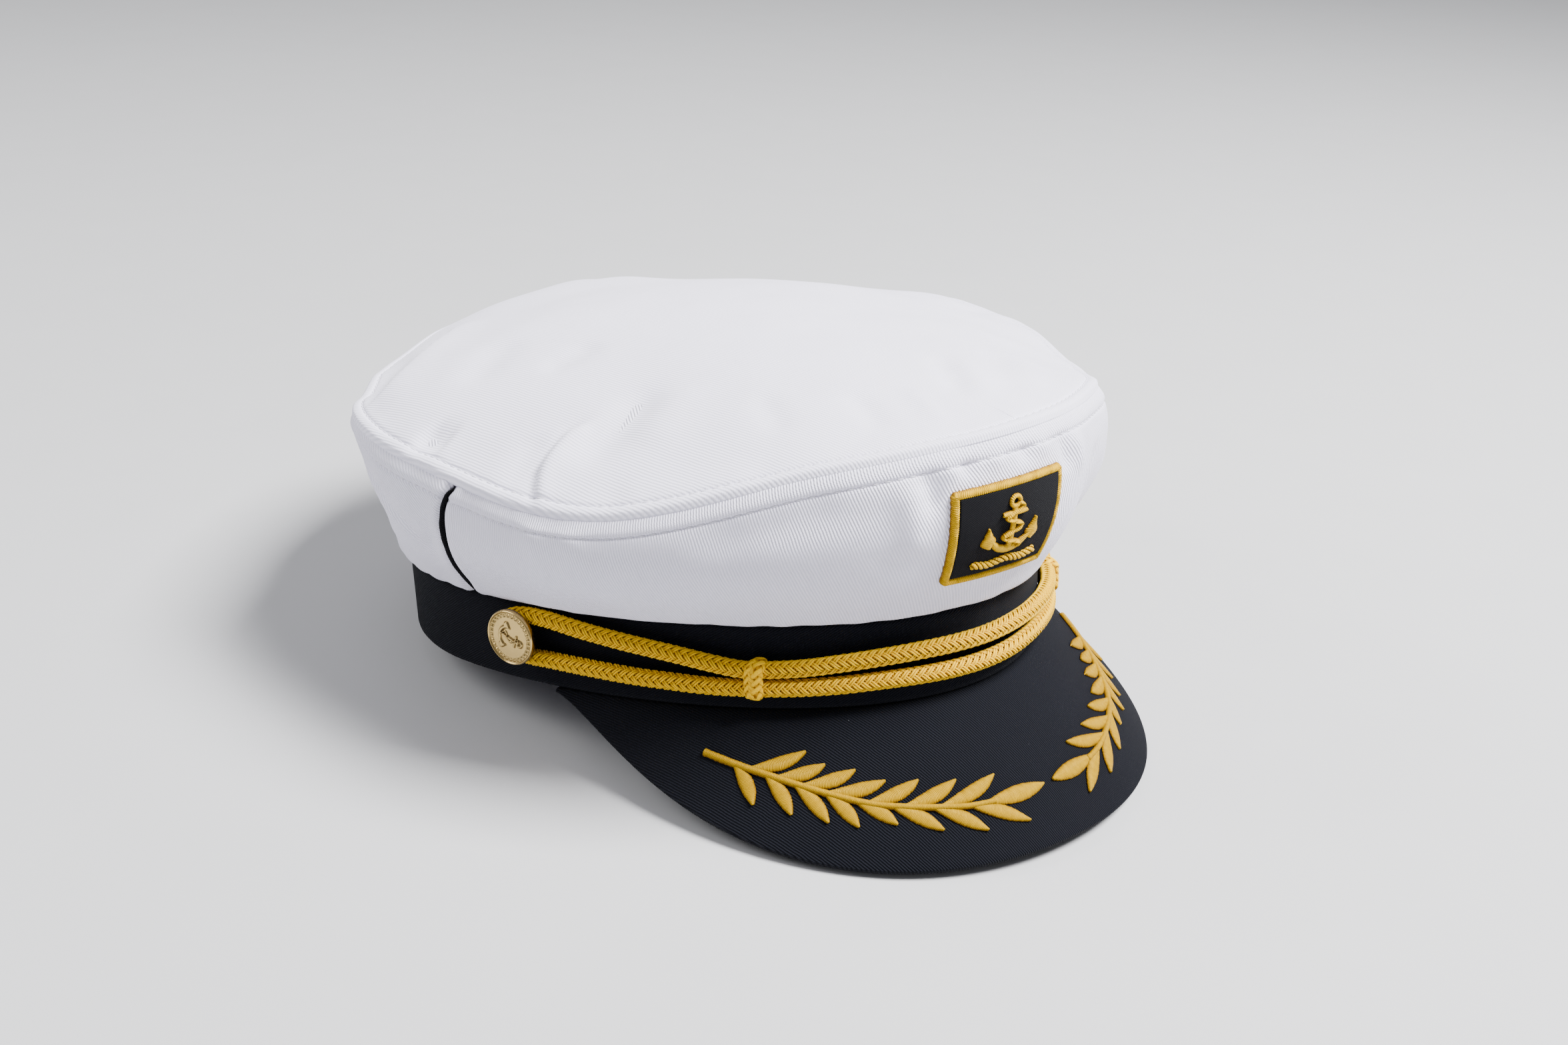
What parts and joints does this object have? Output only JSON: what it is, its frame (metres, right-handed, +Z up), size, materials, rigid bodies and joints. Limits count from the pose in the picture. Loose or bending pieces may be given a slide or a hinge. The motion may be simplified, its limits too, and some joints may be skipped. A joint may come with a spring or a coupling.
{
  "type": "captain hat",
  "caption": "Soft white yachting cap with a navy band and sloping peak, gold laurel embroidery, a gold cord with side buttons and an anchor patch.",
  "frame": {"origin": "on the floor, under the middle of the cap's box", "axes": "+Z up, the peak points to -Y, the wearer's right is -X; the cap lies as it rests on its peak and the back of its band"},
  "size_m": [0.2104, 0.2588, 0.1055],
  "materials": {
    "navy_twill": "cotton twill, matt",
    "white_twill": "cotton twill, matt",
    "black_cloth": "woven cloth, matt",
    "gold_thread": "satin-stitched embroidery thread",
    "gold_cord": "braided cord",
    "gold_metal": "polished, pressed"
  },
  "bodies": {
    "root": {"head_band": "navy_twill", "peak": "navy_twill", "crown_side_front": "white_twill", "crown_side_back": "white_twill", "crown_top": "white_twill", "side_piping_right": "black_cloth", "side_piping_left": "black_cloth", "laurel_right": "gold_thread", "laurel_left": "gold_thread", "cord_loop": "gold_cord", "cord_knot_right": "gold_cord", "cord_knot_left": "gold_cord", "button_right": "gold_metal", "button_left": "gold_metal", "patch_ground": "black_cloth", "patch_border": "gold_thread", "patch_anchor": "gold_thread", "patch_rope_bar": "gold_thread"}
  },
  "joints": []
}
